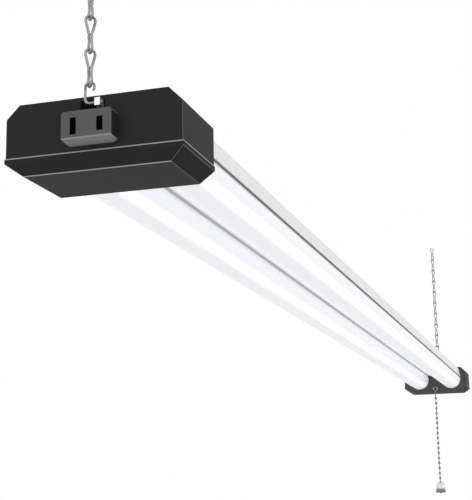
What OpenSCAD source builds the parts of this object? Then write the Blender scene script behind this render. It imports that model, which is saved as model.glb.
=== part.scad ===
// Hanging shop light: twin milky tubes under a white channel, two dark end caps,
// an outlet in the near cap, a pull-chain switch in the far cap and two chains.
// Millimetres. X is the width, Y the length from the near cap to the far cap, Z up.
// The origin is midway between the two ceiling hooks, where the top links bear on them.

/* [Fixture] */
// Length over both end caps
fixture_l = 1220; // [900:10:1600]
// Distance between the centres of the two tubes
tube_pitch = 44; // [42:1:48]
// Outside radius of a tube
tube_r = 12.9; // [11.5:0.1:13]
// Wall of a tube
tube_wall = 1.2; // [0.8:0.1:1.6]
// Height of the tubes' centre line above the cap's flat bottom
tube_z = 17; // [16:0.5:18]
// Height of the channel's top face above the cap's flat bottom
housing_top_z = 31.2; // [31:0.1:31.2]
// Width across the channel's flat top
housing_top_w = 67; // [60:1:68]
// Space between a tube and the lower edge of the channel's wall
wall_gap = 0.2; // [0.2:0.1:1]
// Thickness of the channel's and the tray's sheet
sheet = 0.8; // [0.6:0.1:1]
// Height of the underside of the tray above the cap's flat bottom
tray_z = 22.4; // [22:0.1:22.6]
// Width of a light board
board_w = 14; // [10:1:16]
// Distance between two light chips
chip_pitch = 20; // [15:1:40]

/* [End caps] */
// Width of a cap over its rim
cap_w = 86.2; // [84:0.2:92]
// Height of a cap
cap_h = 33; // [33:0.1:36]
// Depth of a cap along the fixture
cap_d = 44; // [42:1:60]
// Wall of a cap
cap_wall = 1.8; // [1.4:0.1:1.8]
// Chamfer along the two top edges of a cap
cap_chamfer = 6.5; // [4:0.5:8]
// Height of the rim's upper edge, where the two halves of a cap part
rim_top_z = 8; // [7.4:0.1:9]
// Height of the rim's own flat edge
rim_band = 2.4; // [1.6:0.1:3]
// How far the rim stands out from the upper half
rim_step = 0.5; // [0.2:0.1:0.8]
// Width of the sloping sides under the rim
bevel_x = 7.6; // [5:0.2:9]
// Depth of the sloping end under the rim
bevel_y = 4.6; // [3:0.2:6]

/* [Outlet] */
// Width of the outlet block
outlet_w = 24.2; // [22:0.2:30]
// Height of the outlet block where it meets the cap
outlet_h = 14.4; // [13:0.2:15]
// How far the outlet block stands out from the cap
outlet_out = 7; // [2:0.1:8]
// Distance between the centres of the two slots
slot_pitch = 12.7; // [12:0.1:13]
// Width of a slot
slot_w = 3; // [2.4:0.1:3.2]
// Height of the longer slot
slot_tall = 7.9; // [7:0.1:8.4]
// Height of the shorter slot
slot_short = 6.6; // [6:0.1:7]

/* [Chains] */
// Number of links in each chain, with the two topmost
link_count = 11; // [6:1:24]
// Distance between two neighbouring links
link_pitch = 16; // [14:0.5:24]
// Thickness of the links' wire
link_wire = 1.3; // [1:0.1:1.5]
// Width of a link's loop over the wire
link_w = 6; // [5.6:0.1:8]
// Thickness of the hooks' wire
hook_wire = 1.2; // [1:0.1:1.3]

/* [Pull chain] */
// Number of beads that hang below the eyelet
bead_count = 18; // [6:1:30]
// Diameter of a bead
bead_d = 3.6; // [3:0.1:3.7]
// Distance between two neighbouring beads
bead_pitch = 6.8; // [6:0.1:8]
// Width of the bell over its flare
bell_w = 14.6; // [12:0.2:18]
// Height of the bell
bell_h = 14.6; // [13:0.2:20]

/* [Hidden] */
$fn = 48;
overrun = 1;

half_l = fixture_l / 2;
cap_in_y = half_l - cap_d;
shell_hw = cap_w / 2 - rim_step;
shell_end_y = half_l - rim_step;
rim_hw = cap_w / 2;
rim_low_z = rim_top_z - rim_band;
cavity_hw = shell_hw - cap_wall;
cavity_end_y = shell_end_y - cap_wall;
cavity_top_z = cap_h - cap_wall;
// A wall keeps its thickness along a 45 degree chamfer when the chamfer shrinks by this share of it
chamfer_share = 2 - sqrt(2);
cavity_chamfer = cap_chamfer - chamfer_share * cap_wall;
seat_gap = 0.2;

// The channel, the tray and what they hold
housing_in = 22;
housing_end_y = cap_in_y + housing_in;
housing_corner_r = 1.5;
housing_foot_drop = 3;
housing_foot_z = tray_z - housing_foot_drop;
tube_rise = housing_foot_z - tube_z;
housing_foot_w = 2 * (tube_pitch / 2 + sqrt(tube_r * tube_r - tube_rise * tube_rise) + wall_gap + sheet);
tray_fit = 0.05;
tray_flange_h = 3.5;
tube_in = 6;
tube_end_y = cap_in_y + tube_in;
tube_x = tube_pitch / 2;
tube_slot_gap = 0.2;
lip_h = 1;
lip_w = 1.3;
tube_top_z = tray_z - tube_slot_gap;
tube_bore_r = tube_r - tube_wall;
tube_cut_x = sqrt(tube_bore_r * tube_bore_r - (tube_top_z - tube_z) * (tube_top_z - tube_z));
lip_x1 = tube_cut_x + tube_wall / 2;
lip_x0 = lip_x1 - lip_w;
rail_wall = 0.6;
rail_gap = 0.5;
rail_foot_z1 = tube_top_z - lip_h - tube_slot_gap;
rail_foot_h = 0.7;
rail_x1 = lip_x0 - rail_gap;
board_h = 1.2;
board_end_gap = 4;
board_l = 2 * (housing_end_y - board_end_gap);
chip_size = [2.8, 3.5, 0.7];
chip_count = floor((2 * tube_end_y - 4 * chip_pitch) / chip_pitch);
jumper_r = 0.5;
jumper_y = (tube_end_y + housing_end_y) / 2 - board_end_gap;

// The driver lies on the tray, beside the supply wires
driver_x0 = 9.5;
driver_w = 18;
driver_l = 240;
driver_back = 48;
driver_y0 = housing_end_y - driver_back - driver_l;
driver_foot_r = 1;
driver_foot_x = 2;
driver_foot_y = 4;
insulator_edge_x = 1;
insulator_edge_y = 4;
insulator_h = 0.4;
driver_board_h = 1.6;
driver_legs = 1;
driver_z0 = tray_z + sheet + insulator_h;
driver_board_z = driver_z0 + driver_legs;
driver_parts_z = driver_board_z + driver_board_h;
part_h = housing_top_z - sheet - driver_parts_z - 2 * seat_gap;
core_size = [14, 22];
bridge_size = [12, 14];
choke_size = [11, 5];
can_l = 20;
small_can_l = 12;
// Where each of the driver's parts starts, as a share of the board's length
core_share = 0.4;
bridge_share = 0.11;
choke_shares = [0.81, 0.87, 0.925];
can_shares = [0.56, 0.675];
small_can_shares = [0.22, 0.29];
// Where the middle of a can stands, as a share of the board's width
can_side_share = 0.33;
small_can_side_share = 0.72;
lead_r = 0.8;
lead_x = [12, 15];
wire_r = 1.1;
wire_z = tray_z + sheet + wire_r + seat_gap / 2;

// The outlet
outlet_z = 17.6;
outlet_top_z = outlet_z + outlet_h / 2;
outlet_low_z = outlet_top_z - outlet_h;
outlet_corner_r = 2;
outlet_slope_h = 1.6;
outlet_edge = 0.3;
outlet_body_w = 22;
outlet_body_h = 12.4;
outlet_body_gap = 0.1;
outlet_body_d = 14.5;
outlet_body_y = shell_end_y - outlet_body_d;
pocket_w = 4.4;
pocket_h = 9.4;
pocket_face = 1.6;
leaf_t = 0.5;
leaf_space = 1.6;
leaf_h = 6;
leaf_l = 10;
leaf_y = outlet_body_y - leaf_t / 2 - 0.1;
tail_w = 2.6;
tail_top_z = wire_z + wire_r + tail_w / 10;
wire_start_y = leaf_y - leaf_t / 2;

// The hanger, the window that it comes out of, and the hook in its eye
hanger_t = 2.6;
hanger_foot_t = 1.6;
hanger_h = 3.6;
hanger_x = 3;
hanger_top_z = housing_top_z - sheet;
hanger_z = hanger_top_z - hanger_h / 2;
hanger_foot_back = 26;
hanger_foot_y = cap_in_y - hanger_foot_back;
hanger_foot_l = 20;
hanger_foot_w = 17;
rivet_from_x = 6;
rivet_pitch = 7;
hook_out = 2.6;
hook_y = half_l + hook_out;
hook_r = hook_wire / 2;
hook_fit = 0.08;
rivet_r = 1.5;
rivet_head_r = 3;
rivet_head_h = 1.2;
rivet_tail_r = 2.4;
rivet_tail_h = 0.8;
rivet_x = [hanger_x + rivet_from_x, hanger_x + rivet_from_x + rivet_pitch];
rivet_y = hanger_foot_y + hanger_foot_l / 2;
window_hw = 6;
window_low_z = hanger_z - hanger_h / 2 - seat_gap;
hook_bend_r = 2.2;
hook_eye_r = 2.2;
hook_eye_end = 50;
hook_pin_x = hook_bend_r - hook_eye_r;
hook_tip_x = 6.4;
hook_eye_h = 7.65;
hook_gap = 0.7;

// A link: two pear-shaped loops at right angles, joined by a short twisted waist
link_r = link_wire / 2;
weld_share = 1.04;
link_gap = 0.3;
link_turn = 45;
loop_r = (link_w - link_wire) / 2;
link_reach = (link_pitch + link_wire + link_gap) / 2;
loop_z = link_reach - loop_r;
loop_angle = asin(loop_r / loop_z);
loop_leg = sqrt(loop_z * loop_z - loop_r * loop_r);
waist_r = 1;
waist_h = 3.2;
first_link_z = hanger_z + hook_eye_h + hook_eye_r - hook_r - link_r - hook_gap + link_reach;
top_link_z = first_link_z + (link_count - 1) * link_pitch;
hang_z = top_link_z + link_reach - link_r;

// Screws down through the top of each cap, into posts of its lower half and into the channel
screw_r = 1.4;
screw_fit = 0.1;
screw_head_r = 2.8;
screw_head_h = 1.8;
post_x = 32;
post_y = half_l - 10;
post_r = 3.2;
post_screw_l = 12;
housing_screw_x = 22;
housing_screw_y = cap_in_y + 12;
housing_screw_l = 6;

// The cord's inlet in the far cap
gland_x = -20;
gland_z = 17;
gland_bore_r = 3.9;
gland_r = 5.2;
gland_fit = 0.1;
gland_flange_r = 6.5;
gland_flange_h = 2.5;
gland_in = 2.5;
nut_r = 7.2;
nut_fit = 0.05;

// The pull switch stands on the floor of the far cap
eyelet_z = 3.9;
eyelet_bore_r = 2.1;
eyelet_r = 2.4;
eyelet_fit = 0.05;
eyelet_flange_r = 2.9;
eyelet_flange_h = 1;
cheek_t = 0.6;
cheek_h = 3;
cheek_gap = 0.2;
bead_r = bead_d / 2;
bead_wire_r = 0.6;
bead_front = 0.6;
chain_y = cap_in_y - eyelet_flange_h - bead_front - bead_r;
case_w = 24;
case_wall = 1.4;
case_y0 = cavity_end_y - 18.7;
case_l = 17.4;
case_chamfer = 3;
case_z1 = 19.5;
drum_turn_r = 5.5;
drum_core_r = 3.2;
drum_core_w = 4.4;
drum_flange_w = 0.8;
drum_flange_r = 6;
drum_y = case_y0 + 8;
drum_z = eyelet_z + drum_turn_r;
shaft_r = 1.5;
shaft_fit = 0.06;
shaft_end_gap = 0.2;
peg_r = 0.5;
bead_turn = bead_pitch / drum_turn_r * 180 / PI;
spring_w = 3;
spring_r = 3;
spring_bore_r = 2.2;
tab_t = 1.2;
tab_w = 3;
tab_h = 5.5;
tab_x = 5;
block_w = 30;
block_l = 10;
block_h = 6.8;
block_y0 = case_y0;
inner_beads = floor((drum_y - chain_y) / bead_pitch);

// The bell at the chain's end
bell_r = bell_w / 2;
bell_wall = 0.7;
bell_neck_r = 1.6;
bell_hole_r = bead_wire_r;
bell_dome_share = 0.82;
bell_dome_h_share = 0.42;
bell_side_h_share = 0.72;
bell_steps = 8;
ball_r = 3;
ball_h_share = 0.86;
last_bead_z = eyelet_z - bead_count * bead_pitch;
bell_top_z = last_bead_z - 0.7 * bead_pitch;
ball_z = bell_top_z - ball_h_share * bell_h;

WHITE = [0.93, 0.93, 0.92];
MILK = [0.95, 0.96, 0.98, 0.8];
BLACK = [0.16, 0.16, 0.16];
GREY = [0.36, 0.36, 0.36];
STEEL = [0.78, 0.78, 0.79];
CHROME = [0.85, 0.85, 0.86];
BRASS = [0.8, 0.65, 0.35];
GREEN = [0.1, 0.4, 0.2];

// Heights are measured from the caps' flat bottom, and this moves a piece into the part's frame
module placed() {
    translate([0, 0, -hang_z]) children();
}

module near_end() {
    mirror([0, 1, 0]) children();
}

module both_sides() {
    children();
    mirror([1, 0, 0]) children();
}

// An outline in X and Z, swept from y0 to y1
module along_y(y0, y1) {
    translate([0, y1, 0]) rotate([90, 0, 0]) linear_extrude(y1 - y0) children();
}

// An outline in Y and Z, swept from x0 to x1
module along_x(x0, x1) {
    translate([x0, 0, 0]) rotate([90, 0, 90]) linear_extrude(x1 - x0) children();
}

module rod_y(r, y0, y1) {
    translate([0, y1, 0]) rotate([90, 0, 0]) cylinder(r = r, h = y1 - y0);
}

module rod_x(r, x0, x1) {
    translate([x0, 0, 0]) rotate([0, 90, 0]) cylinder(r = r, h = x1 - x0);
}

// A bent wire in X and Z: an arc about the origin from angle a0, through a degrees
module wire_arc(bend_r, wire, a0, a) {
    rotate([90, 0, 0]) rotate([0, 0, a0]) rotate_extrude(angle = a)
        translate([bend_r, 0]) circle(r = wire);
}

function arc_points(cx, cy, r, a0, a1, steps) =
    [for (i = [0:steps]) let (a = a0 + (a1 - a0) * i / steps) [cx + r * cos(a), cy + r * sin(a)]];

// Channel

function channel_side(top_w, foot_w, top_z, foot_z, r) = concat(
    [[foot_w / 2, foot_z]],
    arc_points(top_w / 2 - r, top_z - r, r, 0, 90, 4));

module channel_outline(inset) {
    side = channel_side(housing_top_w - 2 * inset, housing_foot_w - 2 * inset,
        housing_top_z - inset, housing_foot_z, housing_corner_r - inset / 2);
    polygon(concat(side, [for (i = [len(side) - 1:-1:0]) [-side[i][0], side[i][1]]]));
}

module housing() {
    color(WHITE) placed() difference() {
        along_y(-housing_end_y, housing_end_y) difference() {
            channel_outline(0);
            channel_outline(sheet);
        }
        for (side = [-1, 1]) {
            for (x = [-housing_screw_x, housing_screw_x])
                translate([x, side * housing_screw_y, hanger_top_z - overrun])
                    cylinder(r = screw_r + screw_fit, h = sheet + 2 * overrun);
            for (x = rivet_x)
                translate([x, side * rivet_y, hanger_top_z - overrun])
                    cylinder(r = rivet_r + screw_fit, h = sheet + 2 * overrun);
        }
    }
}

module rail() {
    along_y(-tube_end_y, tube_end_y) {
        translate([rail_x1 - rail_wall, rail_foot_z1 - rail_foot_h])
            square([rail_wall, tray_z - rail_foot_z1 + rail_foot_h + sheet / 2]);
        translate([rail_x1 - rail_wall, rail_foot_z1 - rail_foot_h])
            square([rail_wall + rail_gap + lip_w / 2, rail_foot_h]);
    }
}

// The tray's two edges are bent up and lie against the channel's walls
module tray_outline() {
    outer = sheet + tray_fit;
    intersection() {
        channel_outline(outer);
        union() {
            translate([-housing_foot_w, tray_z]) square([2 * housing_foot_w, sheet]);
            difference() {
                translate([-housing_foot_w, tray_z]) square([2 * housing_foot_w, tray_flange_h]);
                channel_outline(outer + sheet);
            }
        }
    }
}

module reflector_tray() {
    color(WHITE) placed() union() {
        along_y(-housing_end_y, housing_end_y) tray_outline();
        for (x = [-tube_x, tube_x]) translate([x, 0, 0]) both_sides() rail();
    }
}

module led_board(side) {
    color(WHITE) placed() translate([side * tube_x - board_w / 2, -board_l / 2, tray_z - board_h])
        cube([board_w, board_l, board_h]);
}

module led_chips(side) {
    color("khaki") placed() for (i = [0:chip_count - 1])
        translate([side * tube_x - chip_size[0] / 2,
                (i - (chip_count - 1) / 2) * chip_pitch - chip_size[1] / 2,
                tray_z - board_h - chip_size[2]])
            cube(chip_size);
}

module board_jumper() {
    reach = tube_x - board_w / 2;
    color(WHITE) placed() translate([0, -jumper_y, tray_z - jumper_r])
        rod_x(jumper_r, -reach, reach);
}

module diffuser(side) {
    color(MILK) placed() translate([side * tube_x, 0, 0]) along_y(-tube_end_y, tube_end_y) {
        difference() {
            translate([0, tube_z]) circle(r = tube_r, $fn = 96);
            translate([0, tube_z]) circle(r = tube_bore_r, $fn = 96);
            translate([-2 * tube_r, tube_top_z]) square([4 * tube_r, 2 * tube_r]);
        }
        for (s = [-1, 1])
            translate([s * (lip_x0 + lip_x1) / 2 - lip_w / 2, tube_top_z - lip_h])
                square([lip_w, lip_h]);
    }
}

// Driver and wires

module driver_insulator() {
    color("ivory") placed()
        translate([driver_x0 - insulator_edge_x, driver_y0 - insulator_edge_y, tray_z + sheet])
            cube([driver_w + 2 * insulator_edge_x, driver_l + 2 * insulator_edge_y, insulator_h]);
}

module driver_board() {
    color(GREEN) placed() {
        translate([driver_x0, driver_y0, driver_board_z]) cube([driver_w, driver_l, driver_board_h]);
        for (dx = [driver_foot_x, driver_w - driver_foot_x])
            for (dy = [driver_foot_y, driver_l - driver_foot_y])
                translate([driver_x0 + dx, driver_y0 + dy, driver_z0])
                    cylinder(r = driver_foot_r, h = driver_legs);
    }
}

// A block in the middle of the board's width
module driver_block(share, size, h) {
    translate([driver_x0 + (driver_w - size[0]) / 2, driver_y0 + share * driver_l, driver_parts_z])
        cube([size[0], size[1], h]);
}

module driver_can(side_share, share, l) {
    translate([driver_x0 + side_share * driver_w, driver_y0 + share * driver_l,
            driver_parts_z + part_h / 2])
        rod_y(part_h / 2, 0, l);
}

module driver_parts() {
    color("dimgray") placed() {
        driver_block(core_share, core_size, part_h);
        driver_block(bridge_share, bridge_size, part_h);
        for (share = choke_shares) driver_block(share, choke_size, part_h / 2);
        for (share = can_shares) driver_can(can_side_share, share, can_l);
        for (share = small_can_shares) driver_can(small_can_side_share, share, small_can_l);
    }
}

module driver_leads() {
    color("black") placed() for (x = lead_x)
        translate([x, 0, driver_board_z + driver_board_h / 2])
            rod_y(lead_r, driver_y0 + driver_l, block_y0);
}

module supply_wires() {
    color("black") placed() for (x = [-slot_pitch / 2, slot_pitch / 2])
        translate([x, 0, wire_z]) rod_y(wire_r, -wire_start_y, block_y0);
}

// End caps, drawn at the far end

module shell_outline(hw, top_z, chamfer) {
    polygon([[-hw, rim_top_z], [-hw, top_z - chamfer], [-hw + chamfer, top_z],
        [hw - chamfer, top_z], [hw, top_z - chamfer], [hw, rim_top_z]]);
}

module cap_screw_holes() {
    for (x = [-post_x, post_x]) translate([x, post_y, cavity_top_z - overrun])
        cylinder(r = screw_r + screw_fit, h = cap_wall + 2 * overrun);
    for (x = [-housing_screw_x, housing_screw_x])
        translate([x, housing_screw_y, cavity_top_z - overrun])
            cylinder(r = screw_r + screw_fit, h = cap_wall + 2 * overrun);
}

module cap_shell_blank() {
    difference() {
        along_y(cap_in_y, shell_end_y) shell_outline(shell_hw, cap_h, cap_chamfer);
        along_y(cap_in_y - overrun, cavity_end_y)
            shell_outline(cavity_hw, cavity_top_z, cavity_chamfer);
        translate([-cavity_hw, cap_in_y - overrun, rim_top_z - overrun])
            cube([2 * cavity_hw, cavity_end_y - cap_in_y + overrun, 2 * overrun]);
        translate([-window_hw, cavity_end_y - overrun, window_low_z])
            cube([2 * window_hw, cap_wall + 2 * overrun, cavity_top_z - window_low_z]);
        cap_screw_holes();
    }
}

module near_cap_shell() {
    body_w = outlet_body_w + 2 * outlet_body_gap;
    body_h = outlet_body_h + 2 * outlet_body_gap;
    color(BLACK) placed() near_end() difference() {
        cap_shell_blank();
        translate([-body_w / 2, cavity_end_y - overrun, outlet_z - body_h / 2])
            cube([body_w, cap_wall + 2 * overrun, body_h]);
    }
}

module far_cap_shell() {
    color(BLACK) placed() difference() {
        cap_shell_blank();
        translate([gland_x, 0, gland_z])
            rod_y(gland_r + gland_fit, cavity_end_y - overrun, shell_end_y + overrun);
    }
}

// What the inner wall of a cap is cut away for: the channel and the two tubes
module channel_cut() {
    foot_x = housing_foot_w / 2 + seat_gap;
    foot_z = housing_foot_z - seat_gap;
    along_y(cap_in_y - overrun, cap_in_y + cap_wall + overrun) {
        polygon([[-tube_x, tray_z - seat_gap], [-tube_x, foot_z], [-foot_x, foot_z],
            [-housing_top_w / 2 - seat_gap, cap_h], [housing_top_w / 2 + seat_gap, cap_h],
            [foot_x, foot_z], [tube_x, foot_z], [tube_x, tray_z - seat_gap]]);
        for (x = [-tube_x, tube_x]) translate([x, tube_z]) circle(r = tube_r + seat_gap, $fn = 96);
    }
}

module base_outline(hw, low_z, top_z, slope_x, floor_z) {
    polygon([[-hw, top_z], [-hw, low_z], [-hw + slope_x, floor_z],
        [hw - slope_x, floor_z], [hw, low_z], [hw, top_z]]);
}

module cap_base_blank() {
    inner_slope = bevel_x - cap_wall / 2;
    difference() {
        union() {
            difference() {
                intersection() {
                    along_y(cap_in_y, half_l) base_outline(rim_hw, rim_low_z, rim_top_z, bevel_x, 0);
                    along_x(-rim_hw, rim_hw) polygon([[cap_in_y, 0], [cap_in_y, rim_top_z],
                        [half_l, rim_top_z], [half_l, rim_low_z], [half_l - bevel_y, 0]]);
                }
                intersection() {
                    along_y(cap_in_y + cap_wall, half_l)
                        base_outline(rim_hw - cap_wall, rim_low_z, rim_top_z + overrun,
                            inner_slope, cap_wall);
                    along_x(-rim_hw, rim_hw) polygon([[cap_in_y, cap_wall],
                        [cap_in_y, rim_top_z + overrun], [half_l - cap_wall, rim_top_z + overrun],
                        [half_l - cap_wall, rim_low_z],
                        [half_l - bevel_y - cap_wall / 2, cap_wall]]);
                }
            }
            along_y(cap_in_y, cap_in_y + cap_wall) shell_outline(cavity_hw - seat_gap,
                cavity_top_z - seat_gap, cavity_chamfer);
            both_sides() translate([post_x, post_y, cap_wall / 2])
                cylinder(r = post_r, h = cavity_top_z - seat_gap - cap_wall / 2);
        }
        channel_cut();
        both_sides() translate([post_x, post_y, cavity_top_z - post_screw_l])
            cylinder(r = screw_r + screw_fit, h = post_screw_l + overrun);
    }
}

module near_cap_base() {
    color(BLACK) placed() near_end() cap_base_blank();
}

module far_cap_base() {
    color(BLACK) placed() difference() {
        cap_base_blank();
        translate([0, 0, eyelet_z])
            rod_y(eyelet_r + eyelet_fit, cap_in_y - overrun, cap_in_y + cap_wall);
    }
}

module screw(length) {
    cylinder(r = screw_head_r, h = screw_head_h);
    translate([0, 0, -length]) cylinder(r = screw_r, h = length + screw_head_h / 2);
}

module cap_screws() {
    for (x = [-post_x, post_x]) translate([x, post_y, cap_h]) screw(post_screw_l);
    for (x = [-housing_screw_x, housing_screw_x])
        translate([x, housing_screw_y, cap_h]) screw(housing_screw_l);
}

module near_cap_screws() {
    color(STEEL) placed() near_end() cap_screws();
}

module far_cap_screws() {
    color(STEEL) placed() cap_screws();
}

// Outlet, drawn at the far end and mirrored to the near one

module rounded_block(w, h, r) {
    square([w - 2 * r, h], center = true);
    square([w, h - 2 * r], center = true);
    for (x = [-1, 1]) for (z = [-1, 1])
        translate([x * (w / 2 - r), z * (h / 2 - r)]) circle(r = r);
}

module outlet_insert() {
    face_y = shell_end_y + outlet_out;
    color(GREY) placed() near_end() difference() {
        union() {
            intersection() {
                along_y(shell_end_y, face_y) translate([0, outlet_z])
                    rounded_block(outlet_w, outlet_h, outlet_corner_r);
                along_x(-outlet_w, outlet_w) polygon([[shell_end_y, outlet_low_z],
                    [shell_end_y, outlet_top_z], [face_y, outlet_top_z - outlet_edge],
                    [face_y, outlet_low_z + outlet_slope_h]]);
            }
            translate([-outlet_body_w / 2, outlet_body_y, outlet_z - outlet_body_h / 2])
                cube([outlet_body_w, shell_end_y - outlet_body_y + outlet_out / 2, outlet_body_h]);
        }
        for (x = [-slot_pitch / 2, slot_pitch / 2]) {
            tall = x < 0 ? slot_tall : slot_short;
            translate([x - slot_w / 2, shell_end_y - overrun, outlet_z - tall / 2])
                cube([slot_w, outlet_out + 2 * overrun, tall]);
            translate([x - pocket_w / 2, outlet_body_y - overrun, outlet_z - pocket_h / 2])
                cube([pocket_w, outlet_body_d + outlet_out - pocket_face + overrun, pocket_h]);
        }
    }
}

module outlet_contact(x) {
    color(BRASS) placed() near_end() translate([x, 0, 0]) {
        for (s = [-1, 1])
            translate([s * (leaf_space + leaf_t) / 2 - leaf_t / 2, leaf_y, outlet_z - leaf_h / 2])
                cube([leaf_t, leaf_l, leaf_h]);
        translate([-tail_w / 2, leaf_y - leaf_t / 2, outlet_z - leaf_h / 2])
            cube([tail_w, leaf_t, tail_top_z - outlet_z + leaf_h / 2]);
    }
}

// Hangers, hooks and chains, drawn at the far end

module hanger() {
    difference() {
        union() {
            translate([hanger_x, hanger_foot_y, hanger_z - hanger_h / 2])
                cube([hanger_t, hook_y + hanger_h / 2 - hanger_foot_y, hanger_h]);
            translate([hanger_x, hanger_foot_y, hanger_top_z - hanger_foot_t])
                cube([hanger_foot_w, hanger_foot_l, hanger_foot_t]);
        }
        translate([0, hook_y, hanger_z])
            rod_x(hook_r + hook_fit, hanger_x - overrun, hanger_x + hanger_t + overrun);
        for (x = rivet_x) translate([x, rivet_y, hanger_top_z - hanger_foot_t - overrun])
            cylinder(r = rivet_r + screw_fit, h = hanger_foot_t + 2 * overrun);
    }
}

module near_hanger() {
    color(STEEL) placed() near_end() hanger();
}

module far_hanger() {
    color(STEEL) placed() hanger();
}

module hanger_rivets() {
    grip = sheet + hanger_foot_t;
    color(STEEL) placed() for (side = [-1, 1]) for (x = rivet_x)
        translate([x, side * rivet_y, housing_top_z]) {
            cylinder(r = rivet_head_r, h = rivet_head_h);
            translate([0, 0, -grip - rivet_tail_h / 2])
                cylinder(r = rivet_r, h = grip + rivet_tail_h / 2 + rivet_head_h / 2);
            translate([0, 0, -grip - rivet_tail_h]) cylinder(r = rivet_tail_r, h = rivet_tail_h);
        }
}

module hook() {
    shank_x = hook_pin_x - hook_bend_r;
    translate([0, hook_y, hanger_z]) {
        rod_x(hook_r, hook_pin_x, hook_tip_x);
        translate([hook_pin_x, 0, hook_bend_r]) wire_arc(hook_bend_r, hook_r, 180, 90);
        translate([shank_x, 0, hook_bend_r]) cylinder(r = hook_r, h = hook_eye_h - hook_bend_r);
        translate([shank_x + hook_eye_r, 0, hook_eye_h])
            wire_arc(hook_eye_r, hook_r, -hook_eye_end, 180 + hook_eye_end);
    }
}

module near_hook() {
    color(STEEL) placed() near_end() hook();
}

module far_hook() {
    color(STEEL) placed() hook();
}

module link_loop() {
    translate([0, 0, loop_z]) wire_arc(loop_r, link_r, -loop_angle, 180 + 2 * loop_angle);
    for (s = [-1, 1]) rotate([0, s * loop_angle, 0]) {
        cylinder(r = link_r, h = loop_leg);
        translate([0, 0, loop_leg]) sphere(r = weld_share * link_r);
    }
}

module chain_link(index) {
    translate([0, hook_y, first_link_z + index * link_pitch]) {
        rotate([0, 0, link_turn]) link_loop();
        rotate([0, 0, -link_turn]) rotate([180, 0, 0]) link_loop();
        translate([0, 0, -waist_h / 2]) cylinder(r = waist_r, h = waist_h);
    }
}

module lower_chain() {
    for (i = [0:link_count - 3]) chain_link(i);
}

module near_chain() {
    color(STEEL) placed() near_end() lower_chain();
}

module far_chain() {
    color(STEEL) placed() lower_chain();
}

module near_second_link() {
    color(STEEL) placed() near_end() chain_link(link_count - 2);
}

module far_second_link() {
    color(STEEL) placed() chain_link(link_count - 2);
}

module near_top_link() {
    color(STEEL) placed() near_end() chain_link(link_count - 1);
}

module far_top_link() {
    color(STEEL) placed() chain_link(link_count - 1);
}

// Cord inlet and wiring in the far cap

module cord_gland() {
    color(BLACK) placed() translate([gland_x, 0, gland_z]) difference() {
        union() {
            rod_y(gland_flange_r, shell_end_y, shell_end_y + gland_flange_h);
            rod_y(gland_r, cavity_end_y - gland_in, shell_end_y + gland_flange_h / 2);
        }
        rod_y(gland_bore_r, cavity_end_y - gland_in - overrun,
            shell_end_y + gland_flange_h + overrun);
    }
}

module gland_nut() {
    color(BLACK) placed() translate([gland_x, 0, gland_z]) difference() {
        rotate([0, 30, 0]) translate([0, cavity_end_y, 0]) rotate([90, 0, 0])
            cylinder(r = nut_r, h = gland_in - gland_fit, $fn = 6);
        rod_y(gland_r + nut_fit, cavity_end_y - gland_in - overrun, cavity_end_y + overrun);
    }
}

module terminal_block() {
    color("ivory") placed() difference() {
        translate([-block_w / 2, block_y0, case_z1]) cube([block_w, block_l, block_h]);
        for (x = [-slot_pitch / 2, slot_pitch / 2])
            translate([x, block_y0 + block_l / 2, case_z1 + block_h / 2])
                cylinder(r = 1.5, h = block_h);
    }
}

// Pull switch

// The case's lower back edge is cut off to clear the cap's sloping end
module case_outline(inset, chamfer) {
    y0 = case_y0 + inset;
    y1 = case_y0 + case_l - inset;
    z0 = cap_wall + inset;
    z1 = case_z1 - inset;
    polygon([[y0, z0], [y1 - chamfer, z0], [y1, z0 + chamfer], [y1, z1], [y0, z1]]);
}

module switch_case() {
    color("ivory") placed() difference() {
        along_x(-case_w / 2, case_w / 2) case_outline(0, case_chamfer);
        along_x(-case_w / 2 + case_wall, case_w / 2 - case_wall)
            case_outline(case_wall, case_chamfer - chamfer_share * case_wall);
        translate([-drum_core_w / 2, case_y0 - overrun, cap_wall - overrun])
            cube([drum_core_w, drum_y - case_y0 + 1.4 * bead_d + overrun, eyelet_z + bead_d - cap_wall]);
        translate([0, drum_y, drum_z]) rod_x(shaft_r + shaft_fit, -case_w, case_w);
    }
}

module switch_drum() {
    shaft_x = case_w / 2 - shaft_end_gap;
    flange_x = drum_core_w / 2;
    color(WHITE) placed() translate([0, drum_y, drum_z]) {
        rod_x(shaft_r, -shaft_x, shaft_x);
        rod_x(drum_core_r, -flange_x - drum_flange_w / 2, flange_x + drum_flange_w / 2);
        both_sides() rod_x(drum_flange_r, flange_x, flange_x + drum_flange_w);
        for (k = [1, 2]) rotate([k * bead_turn - 90, 0, 0]) {
            translate([0, drum_turn_r, 0]) sphere(r = bead_r);
            rod_y(peg_r, drum_core_r / 2, drum_turn_r);
        }
    }
}

module switch_spring() {
    x1 = case_w / 2 - case_wall;
    color(STEEL) placed() translate([0, drum_y, drum_z]) difference() {
        rod_x(spring_r, x1 - spring_w, x1);
        rod_x(spring_bore_r, x1 - spring_w - overrun, x1 + overrun);
    }
}

module switch_tabs() {
    color(BRASS) placed() both_sides()
        translate([tab_x, case_y0 - tab_t, case_z1 - tab_h]) cube([tab_w, tab_t, tab_h]);
}

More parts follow.
